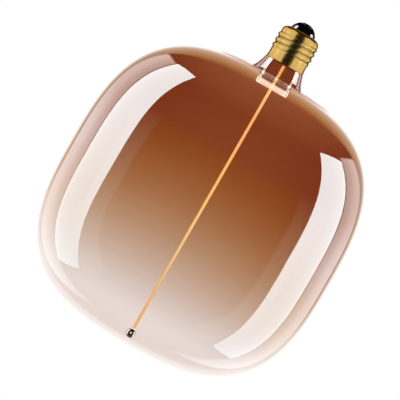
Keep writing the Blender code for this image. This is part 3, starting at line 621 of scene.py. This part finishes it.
def envelope_outline():
    """Outer outline of the glass from the neck's top edge inside the cap to the bottom pole.

    The neck swells under the cap's rim, flares out to a crease and rises a little to the crown.
    """
    below_rim = RIM_Z - 0.3 * MM
    neck = [(NECK_RADIUS, NECK_TOP_Z), (NECK_RADIUS, NECK_TOP_Z - 4.0 * MM), (NECK_RADIUS, -26.8 * MM)]
    swell = cubic((NECK_RADIUS + 0.1 * MM, -27.1 * MM), (11.6 * MM, -27.9 * MM), (12.5 * MM, -28.3 * MM),
                  (RIM_RADIUS + 0.05 * MM, below_rim), 5)
    flare = cubic((13.0 * MM, below_rim - 0.3 * MM), (13.9 * MM, -32.1 * MM), (15.0 * MM, -35.8 * MM),
                  (17.4 * MM, -38.3 * MM), 16)
    crease = cubic((17.6 * MM, -38.5 * MM), (18.0 * MM, -38.85 * MM), (18.3 * MM, -38.95 * MM),
                   (18.8 * MM, CREASE_Z), 5)
    crown = crown_outline()
    rise = cubic((19.2 * MM, -38.85 * MM), (20.4 * MM, -38.5 * MM), (22.0 * MM, -38.05 * MM), crown[0], 8)
    return neck + swell + flare + crease + rise + crown[1:]


def glass_envelope():
    """Double-walled vessel: its outer skin mirrors, its inner skin only lets light through."""
    outer = envelope_outline()
    inner = inward(outer, GLASS_WALL)
    inner[0] = (NECK_RADIUS - GLASS_WALL, NECK_TOP_Z)
    made = turned("blown_glass", outer + inner[::-1], tinted_glass(), FINE_SEGMENTS)
    made.data.materials.append(inner_skin())
    outer_faces = (len(outer) - 1) * FINE_SEGMENTS
    for face in made.data.polygons:
        if face.index >= outer_faces:
            face.material_index = 1
    return carry(made, "tinted_glass", "glass_envelope")


def neck_collar():
    """Thin clear tube inside the neck with a rolled lip at its lower end."""
    corners = [(COLLAR_BORE, COLLAR_HIGH.z), (COLLAR_TUBE, COLLAR_HIGH.z),
               (COLLAR_TUBE, COLLAR_LIP_TOP_Z + COLLAR_SLOPE), (COLLAR_HIGH.x, COLLAR_LIP_TOP_Z),
               (COLLAR_HIGH.x, COLLAR_LOW.z), (COLLAR_BORE, COLLAR_LOW.z)]
    outline = rounded(corners, COLLAR_EDGE)
    made = turned("neck_tube", outline, collar_glass(), SEGMENTS)
    return carry(made, "clear_glass", "neck_collar")


# ---- Cap ---------------------------------------------------------------------------------------------------

def shell_radius(z, angle):
    """Outer radius of the shell's straight part, thread included."""
    flare = max(0.0, (THREAD_BOTTOM_Z - z) / (THREAD_BOTTOM_Z - RIM_Z))
    plain = SHELL_RADIUS + (RIM_RADIUS - SHELL_RADIUS) * flare ** 3
    into_thread = min(THREAD_TOP_Z - z, z - THREAD_BOTTOM_Z) / THREAD_FADE
    share = min(max(into_thread, 0.0), 1.0)
    share = share * share * (3.0 - 2.0 * share)
    middle = 0.5 * (THREAD_CREST + THREAD_ROOT)
    depth = 0.5 * (THREAD_CREST - THREAD_ROOT)
    turn = 2.0 * math.pi * (z - FIRST_CREST_Z) / THREAD_PITCH - angle
    return plain + share * (middle + depth * math.cos(turn) - plain)


def screw_shell():
    """Rolled sheet with the thread as a true helix, a rounded shoulder and a rolled lip and rim."""
    shoulder = cubic((SHELL_LIP_RADIUS, LIP_Z), (SHELL_RADIUS - 1.6 * MM, LIP_Z - 0.6 * MM),
                     (SHELL_RADIUS, LIP_Z - 1.8 * MM), (SHELL_RADIUS, SHOULDER_FOOT_Z), 14)
    rows = 90
    fall = (RIM_Z - SHOULDER_FOOT_Z) / rows
    straight = [(SHELL_RADIUS, SHOULDER_FOOT_Z + fall * row) for row in range(1, rows + 1)]
    outer = shoulder + straight
    inner = inward(outer, SHELL_SHEET)
    inner[-1] = (SHELL_RADIUS - SHELL_SHEET, RIM_Z)
    inner[0] = (SHELL_LIP_RADIUS, LIP_Z - SHELL_SHEET)

    def radius_at(radius, z, angle):
        if z > SHOULDER_FOOT_Z + TINY:
            return radius
        inset = SHELL_RADIUS - radius
        return shell_radius(z, angle) - inset

    made = turned("threaded_shell", outer + inner[::-1], brass(), FINE_SEGMENTS, radius_at)
    return carry(made, "brass", "screw_shell")


def dome_arc(start_radius, end_radius, steps):
    """Points of the dome between two radii. The contact and the insulator share its sphere."""
    centre_z = -math.sqrt(DOME_RADIUS ** 2 - PAD_RADIUS ** 2)
    first = math.asin(start_radius / DOME_RADIUS)
    last = math.asin(end_radius / DOME_RADIUS)
    points = []
    for step in range(steps + 1):
        angle = first + (last - first) * step / steps
        points.append((DOME_RADIUS * math.sin(angle), centre_z + DOME_RADIUS * math.cos(angle)))
    return points


def centre_contact():
    """Contact disc with a flat pad on the dome's top, and its shank through the insulator."""
    crown = dome_arc(PAD_RADIUS, CONTACT_RADIUS - 0.12 * MM, 12)
    edge_z = crown[-1][1]
    outline = [(0.0, 0.0), (0.6 * PAD_RADIUS, 0.0)] + crown
    outline += cubic(crown[-1], (CONTACT_RADIUS, edge_z - 0.06 * MM), (CONTACT_RADIUS, edge_z - 0.1 * MM),
                     (CONTACT_RADIUS, edge_z - 0.3 * MM), 4)[1:]
    outline += [(SHANK_RADIUS, edge_z - 0.45 * MM), (SHANK_RADIUS, INSULATOR_BASE_Z), (0.0, INSULATOR_BASE_Z)]
    made = turned("contact_button", outline, black_nickel(), SEGMENTS)
    return carry(made, "black_nickel", "centre_contact")


def cap_insulator():
    """Glass dome with a seat for the contact, and a skirt under the shell's shoulder."""
    seat = CONTACT_RADIUS + 0.3 * MM
    dome = dome_arc(seat + 0.1 * MM, DOME_FOOT_RADIUS, 18)
    top = dome[0][1]
    seat_z = top - 0.65 * MM
    skirt = INSULATOR_SKIRT_RADIUS
    outline = [(INSULATOR_BORE, seat_z), (seat, seat_z), (seat, top - 0.1 * MM)] + dome
    outline += [(DOME_FOOT_RADIUS, LIP_Z - 0.9 * MM), (skirt - 0.5 * MM, -7.5 * MM), (skirt, -8.1 * MM)]
    outline += [(skirt, INSULATOR_BASE_Z), (INSULATOR_BORE, INSULATOR_BASE_Z)]
    made = turned("insulator_dome", outline, black_glass(), SEGMENTS)
    return carry(made, "black_glass", "cap_insulator")


# ---- Filament ----------------------------------------------------------------------------------------------

def filament_rod():
    """Round silicone rod with soft ends, open along its middle for the carrier strip."""
    radius = ROD_HIGH.x
    rows = 60
    middle = [ROD_HIGH.z + (ROD_LOW.z - ROD_HIGH.z) * row / rows for row in range(1, rows)]
    outline = [(ROD_BORE, ROD_HIGH.z), (radius - ROD_EDGE, ROD_HIGH.z), (radius, ROD_HIGH.z - ROD_EDGE)]
    outline += [(radius, z) for z in middle]
    outline += [(radius, ROD_LOW.z + ROD_EDGE), (radius - ROD_EDGE, ROD_LOW.z), (ROD_BORE, ROD_LOW.z)]
    made = turned("silicone_rod", outline, phosphor(), ROD_SEGMENTS)
    return carry(made, "phosphor", "filament_phosphor")


def end_ball(look, satin):
    """Polished ball with a seat for the ferrule and a satin top round that seat."""
    radius = BALL_HIGH.x
    middle_z = BALL_LOW.z + radius
    seat_z = middle_z + BALL_SEAT_RISE
    first = math.asin((BALL_SEAT_RADIUS + 0.12 * MM) / radius)
    rim_z = middle_z + radius * math.cos(first)
    outline = [(0.0, seat_z), (BALL_SEAT_RADIUS - 0.2 * MM, seat_z), (BALL_SEAT_RADIUS, seat_z + 0.2 * MM)]
    outline.append((BALL_SEAT_RADIUS, rim_z - 0.1 * MM))
    steps = 40
    for step in range(steps):
        angle = first + (math.pi - first) * step / steps
        outline.append((radius * math.sin(angle), middle_z + radius * math.cos(angle)))
    outline.append((0.0, BALL_LOW.z))
    made = turned("polished_ball", outline, look, BALL_SEGMENTS)
    made.data.materials.append(satin)
    satin_from_z = middle_z + BALL_SATIN_SHARE * radius
    for face in made.data.polygons:
        if face.center.z > satin_from_z:
            face.material_index = 1
    return carry(made, "bright_metal", "end_ball")


def end_ferrule(look):
    """Short round ferrule between the rod and the ball."""
    corners = [(0.0, FERRULE_HIGH.z), (FERRULE_HIGH.x, FERRULE_HIGH.z), (FERRULE_HIGH.x, FERRULE_LOW.z),
               (0.0, FERRULE_LOW.z)]
    outline = rounded(corners, FERRULE_EDGE)
    made = turned("bright_collar", outline, look, FERRULE_SEGMENTS)
    return carry(made, "bright_metal", "end_ferrule")


# ---- Riding, and the parts kept from the frame -------------------------------------------------------------

def carry(piece, slot, *nodes):
    """Hang a piece on its body and hide the CAD nodes that it stands for. Its slot is not used."""
    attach(piece, BODY)
    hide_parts(*nodes)
    return piece


def dress(look, *names):
    """Give the CAD nodes that stay one material."""
    for name in names:
        target = frame["nodes"][name]
        target.data.materials.clear()
        target.data.materials.append(look)


def dress_inner_parts(bright):
    """Materials of the parts inside the cap and the neck."""
    dress(clear_glass(), "stem_flare", "exhaust_tube")
    dress(bright, "filament_top_terminal", "neutral_weld", "radio_shield", "radio_crystal")
    dress(bright_metal("can_aluminium", (0.78, 0.79, 0.80), (0.22, 0.38)),
          "input_capacitor", "output_capacitor")
    dress(bright_metal("copper", (0.86, 0.46, 0.28), (0.15, 0.3)),
          "return_conductor", "lead_wire_positive", "lead_wire_negative", "inductor_winding", "antenna_wire")
    dress(circuit_board(), "driver_board", "radio_board")
    dress(speckled("ceramic", (0.84, 0.83, 0.79), (0.74, 0.73, 0.69), (0.35, 0.55), 2500.0),
          "filament_substrate", "led_chip_row", "fusible_resistor", "ceramic_capacitor")
    dress(speckled("black_plastic", (0.012, 0.012, 0.013), (0.028, 0.028, 0.030), (0.3, 0.5), 3000.0),
          "bridge_rectifier", "driver_ic", "freewheel_diode", "current_sense_resistor", "radio_header",
          "radio_chip", "input_capacitor_foot", "output_capacitor_foot")
    dress(speckled("ferrite", (0.05, 0.05, 0.055), (0.10, 0.10, 0.105), (0.55, 0.8), 3500.0, 0.4),
          "inductor_core")
    dress(speckled("cement", (0.60, 0.56, 0.48), (0.48, 0.44, 0.37), (0.8, 0.95), 900.0, 0.6),
          "basing_cement")
    dress(speckled("sleeve_film", (0.82, 0.77, 0.62), (0.76, 0.70, 0.54), (0.3, 0.5), 600.0), "driver_sleeve")
    dress(speckled("brown_wire", (0.18, 0.07, 0.03), (0.13, 0.05, 0.02), (0.35, 0.5), 1200.0), "live_wire")
    dress(speckled("blue_wire", (0.04, 0.12, 0.40), (0.03, 0.09, 0.32), (0.35, 0.5), 1200.0), "neutral_wire")


# ---- Studio ------------------------------------------------------------------------------------------------

CAMERA_MIDDLE = Vector((-3.75 * MM, 0.0, -124.6 * MM))
CAMERA_DISTANCE = 3.0
CAMERA_ROLL_DEGREES = 29.85
PICTURE_HALF_WIDTH = 121.0 * MM
FLOOR_Z = -0.45
FLOOR_RADIUS = 2.2

# Glowing panels on the left (-1) and the right (1) of the lamp, as plan positions and heights
PANEL_NEAR = Vector((0.32, -0.10))
PANEL_TURN_DEGREES = 18.0
PANEL_WIDTH = 0.24
PANEL_WAIST_Z = -0.11
PANEL_BOW_HEIGHT = 0.46
PANEL_BOW_NEAR = 0.11
PANEL_BOW_FAR = 0.14
PANEL_BOTTOM_Z = -0.54
PANEL_TOP_Z = {-1: 0.35, 1: 0.29}
PANEL_LIGHT = 5.6

# Lights for the brass, with their front and back edges in Y, and for the ball
CAP_LIGHT = 0.75
CAP_LIGHT_FRONT = -0.55
CAP_LIGHT_BACK = 0.16
CAP_LIGHT_HEIGHT = 1.6
CAP_LIGHT_X = 0.3
CAP_LIGHT_Z = -0.015
BALL_LIGHT = 3.0
BALL_LIGHT_WIDTH = 1.0
BALL_LIGHT_WAY = Vector((0.0, -1.0, 0.2))

# The room that mirrors see, by direction: x to the side, y to the back and z up, each from -1 to 1
ROOF_RISE = 1.7
ROOF_PITCH = 1.56
ROOF_BLUR = 0.30
WALL_SPREAD = 0.54
WALL_BLUR = 0.03
WALL_TURNS_WHITE = (0.90, 0.97)
WALL_RISE = (0.5, 0.95)
WALL_NEAR = (0.40, 0.10, 0.0)
WALL_WARM = (1.1, 0.9, 0.0)
WALL_FAR = (1.1, 0.9, 0.75)
WALL_WHITE = (1.5, 1.5, 1.45)
WING_PITCH = 1.05
WING_BLUR = 0.05
WING_WARM = (0.92, 0.78, 0.70)
FAINT_TOP = 0.5
DARKEST = 0.01


def camera():
    """Level camera in front of the lamp, rolled so that the cap leans to the right in the picture."""
    data = bpy.data.cameras.new("camera")
    data.sensor_width = 36.0
    data.lens = 0.5 * data.sensor_width * CAMERA_DISTANCE / PICTURE_HALF_WIDTH
    data.clip_end = 50.0
    made = bpy.data.objects.new("camera", data)
    made.location = CAMERA_MIDDLE - Vector((0.0, CAMERA_DISTANCE, 0.0))
    roll = Matrix.Rotation(math.radians(CAMERA_ROLL_DEGREES), 4, "Z")
    level = Matrix.Rotation(math.radians(90.0), 4, "X")
    made.rotation_euler = (level @ roll).to_euler()
    bpy.context.scene.collection.objects.link(made)
    bpy.context.scene.camera = made


def floor():
    """Round pale floor some way below the lamp. Mirrors see the studio's own glow instead of it."""
    look, nodes = new_look("pale_floor")
    tone = nodes.mix_colour(nodes.noise(40.0, 4.0), colour(0.90, 0.90, 0.89), colour(0.93, 0.93, 0.925))
    nodes.surface(principled(nodes, Base_Color=tone, Roughness=0.6, Specular_IOR_Level=0.0))
    bm = bmesh.new()
    bmesh.ops.create_circle(bm, cap_ends=True, segments=96, radius=FLOOR_RADIUS)
    bmesh.ops.translate(bm, verts=bm.verts, vec=(0.0, 0.0, FLOOR_Z))
    made = finish_mesh("studio_floor", bm, look)
    made.visible_glossy = False


def light_group(name, included=(), excluded=()):
    """A collection that says which pieces a light falls on, or which ones it leaves out."""
    group = bpy.data.collections.new(name)
    for piece in (*included, *excluded):
        group.objects.link(piece)
    for entry in group.collection_objects[len(included):]:
        entry.light_linking.link_state = "EXCLUDE"
    return group


def panel_glow():
    """Glow that lets light through as well, so a piece that it doesn't light sees the room behind it."""
    look, nodes = new_look("panel_glow")
    glow = nodes.add("ShaderNodeEmission", {"Color": colour(*WHITE), "Strength": PANEL_LIGHT})
    nodes.surface(nodes.add_shaders(glow, nodes.add("ShaderNodeBsdfTransparent")))
    return look


def tall_panel(side, receivers):
    """Tall glowing panel beside the lamp with bowed upright edges, turned a little to the back."""
    turn = math.radians(PANEL_TURN_DEGREES)
    away = Vector((side * math.sin(turn), math.cos(turn)))
    near = Vector((side * PANEL_NEAR.x, PANEL_NEAR.y))
    bm = bmesh.new()
    rows = 24
    edges = []
    for row in range(rows + 1):
        z = PANEL_BOTTOM_Z + (PANEL_TOP_Z[side] - PANEL_BOTTOM_Z) * row / rows
        bow = ((z - PANEL_WAIST_Z) / PANEL_BOW_HEIGHT) ** 2
        inner = near + away * (PANEL_BOW_NEAR * bow)
        outer = near + away * (PANEL_WIDTH + PANEL_BOW_FAR * bow)
        edges.append([bm.verts.new((point.x, point.y, z)) for point in (inner, outer)])
    for lower, upper in zip(edges, edges[1:]):
        bm.faces.new((lower[0], lower[1], upper[1], upper[0]))
    made = finish_mesh("tall_panel", bm, panel_glow())
    made.visible_camera = False
    made.visible_diffuse = False
    made.visible_transmission = False
    made.visible_shadow = False
    made.light_linking.receiver_collection = receivers


def area_light(name, data, place, toward, receivers):
    """Put an area light at a place, looking along a direction, to fall on its receivers alone."""
    made = bpy.data.objects.new(name, data)
    made.location = place
    made.rotation_euler = toward.to_track_quat("-Z", "Y").to_euler()
    bpy.context.scene.collection.objects.link(made)
    made.light_linking.receiver_collection = receivers


def cap_light(side, receivers):
    """Wide soft light beside the cap that falls on the brass alone."""
    data = bpy.data.lights.new("cap_light", "AREA")
    data.shape = "RECTANGLE"
    data.size = CAP_LIGHT_BACK - CAP_LIGHT_FRONT
    data.size_y = CAP_LIGHT_HEIGHT
    data.energy = CAP_LIGHT * math.pi * data.size * data.size_y
    middle_y = 0.5 * (CAP_LIGHT_FRONT + CAP_LIGHT_BACK)
    place = (side * CAP_LIGHT_X, middle_y, CAP_LIGHT_Z)
    area_light("cap_light", data, place, Vector((-side, 0.0, 0.0)), receivers)


def ball_light(receivers):
    """Soft light on the camera's side that puts the bright dot on the ball."""
    data = bpy.data.lights.new("ball_light", "AREA")
    data.shape = "DISK"
    data.size = BALL_LIGHT_WIDTH
    data.energy = BALL_LIGHT * math.pi * math.pi * (0.5 * data.size) ** 2
    place = Vector((0.0, 0.0, BALL_LOW.z)) + BALL_LIGHT_WAY
    area_light("ball_light", data, place, -BALL_LIGHT_WAY, receivers)


def back_wall(nodes, y, z, across, beside):
    """Bright wall behind the lamp with a pitched top, amber near the sides and white straight behind."""
    pitched = nodes.maths("ADD", z, nodes.times(across, ROOF_PITCH))
    under_roof = nodes.minus(nodes.times(y, ROOF_RISE), pitched)
    shape = nodes.times(nodes.ramp(under_roof, -ROOF_BLUR, ROOF_BLUR, 0.0, 1.0, True),
                        nodes.ramp(beside, -WALL_BLUR, WALL_BLUR, 0.0, 1.0, True))
    rise = nodes.ramp(y, *WALL_RISE)
    warm = nodes.mix_colour(rise, colour(*WALL_WARM), colour(*WALL_FAR))
    glow = nodes.mix_colour(rise, colour(*WALL_NEAR), warm)
    glow = nodes.mix_colour(nodes.ramp(y, *WALL_TURNS_WHITE, 0.0, 1.0, True), glow, colour(*WALL_WHITE))
    return nodes.mix_colour(shape, colour(*BLACK), glow)


def side_wings(nodes, y, z, across, beside):
    """Wings that join the wall on the left and the right, brightest at their outer parts."""
    under_top = nodes.minus(nodes.times(across, WING_PITCH), z)
    shape = nodes.times(nodes.ramp(under_top, -0.01, 0.02), nodes.ramp(y, 0.86, 0.90, 1.0, 0.0, True),
                        nodes.ramp(y, 0.46, 0.52), nodes.ramp(beside, WING_BLUR, -WING_BLUR))
    glow = nodes.times(nodes.ramp(y, 0.56, 0.70, 2.3, 2.5), nodes.ramp(y, 0.72, 0.86, 1.0, 0.75))
    tone = nodes.mix_colour(nodes.ramp(z, 0.0, 0.15), colour(*WHITE), colour(*WING_WARM))
    return nodes.mix_colour(1.0, tone, nodes.times(shape, glow), "MULTIPLY")


def grey_parts(nodes, y, z, across):
    """Glow low down behind the lamp, and faint strips beside the camera's side of the room."""
    low = nodes.times(nodes.ramp(z, 0.05, -0.10, 0.0, 1.0, True), nodes.ramp(y, 0.66, 0.82, 0.0, 1.25))
    faint = nodes.times(nodes.ramp(y, -0.40, -0.34), nodes.ramp(y, 0.0, 0.06, 1.0, 0.0),
                        nodes.ramp(across, 0.55, 0.62), nodes.ramp(z, 0.35, -0.25, 0.0, FAINT_TOP))
    return nodes.maths("MAXIMUM", low, nodes.maths("MAXIMUM", faint, DARKEST))


def mirrored_room(nodes):
    """Brightness that a mirror sees in every direction round the lamp. The camera's side is dark."""
    direction = nodes.add("ShaderNodeTexCoord").outputs["Generated"]
    x, y, z = nodes.add("ShaderNodeSeparateXYZ", {0: direction}).outputs
    across = nodes.maths("ABSOLUTE", x)
    beside = nodes.minus(nodes.times(y, WALL_SPREAD), across)
    wall = back_wall(nodes, y, z, across, beside)
    wings = side_wings(nodes, y, z, across, beside)
    bright = nodes.mix_colour(1.0, wall, wings, "LIGHTEN")
    return nodes.mix_colour(1.0, bright, grey_parts(nodes, y, z, across), "LIGHTEN")


def world():
    """Even white for the eye and for soft light, and the studio's own pattern for mirrors."""
    made = bpy.data.worlds.new("studio")
    bpy.context.scene.world = made
    nodes = Nodes(made)
    path = nodes.add("ShaderNodeLightPath").outputs
    seen = nodes.mix_colour(path["Is Glossy Ray"], colour(*WHITE), mirrored_room(nodes))
    background = nodes.add("ShaderNodeBackground", {"Color": seen, "Strength": 1.0})
    output = nodes.add("ShaderNodeOutputWorld")
    nodes.feed(output.inputs["Surface"], background.outputs[0])
    made.cycles.sampling_method = "NONE"


def studio(glass, cap, rod_end):
    """Camera, room, floor and lights. The glass and the cap stay out of each other's mirrors."""
    camera()
    world()
    floor()
    for piece in (glass, *cap):
        piece.visible_glossy = False
    shell = cap[0]
    all_but_brass = light_group("all_but_brass", excluded=(shell,))
    brass_only = light_group("brass_only", included=(shell,))
    for side in (-1, 1):
        tall_panel(side, all_but_brass)
        cap_light(side, brass_only)
    ball_light(light_group("ball_only", included=rod_end))


# ---- The scene ---------------------------------------------------------------------------------------------

bpy.context.scene.view_settings.view_transform = "Standard"
bpy.context.scene.cycles.transparent_max_bounces = 24
glass = glass_envelope()
cap = (screw_shell(), cap_insulator(), centre_contact())
filament_rod()
neck_collar()
polished = bright_metal()
satin = bright_metal("satin_metal", (0.88, 0.86, 0.83), (0.35, 0.5))
ball = end_ball(bright_metal("ball_metal", (0.22, 0.22, 0.23), (0.03, 0.06)), satin)
ferrule = end_ferrule(satin)
dress(satin, "filament_bottom_terminal")
studio(glass, cap, (ball, ferrule, frame["nodes"]["filament_bottom_terminal"]))
dress_inner_parts(polished)
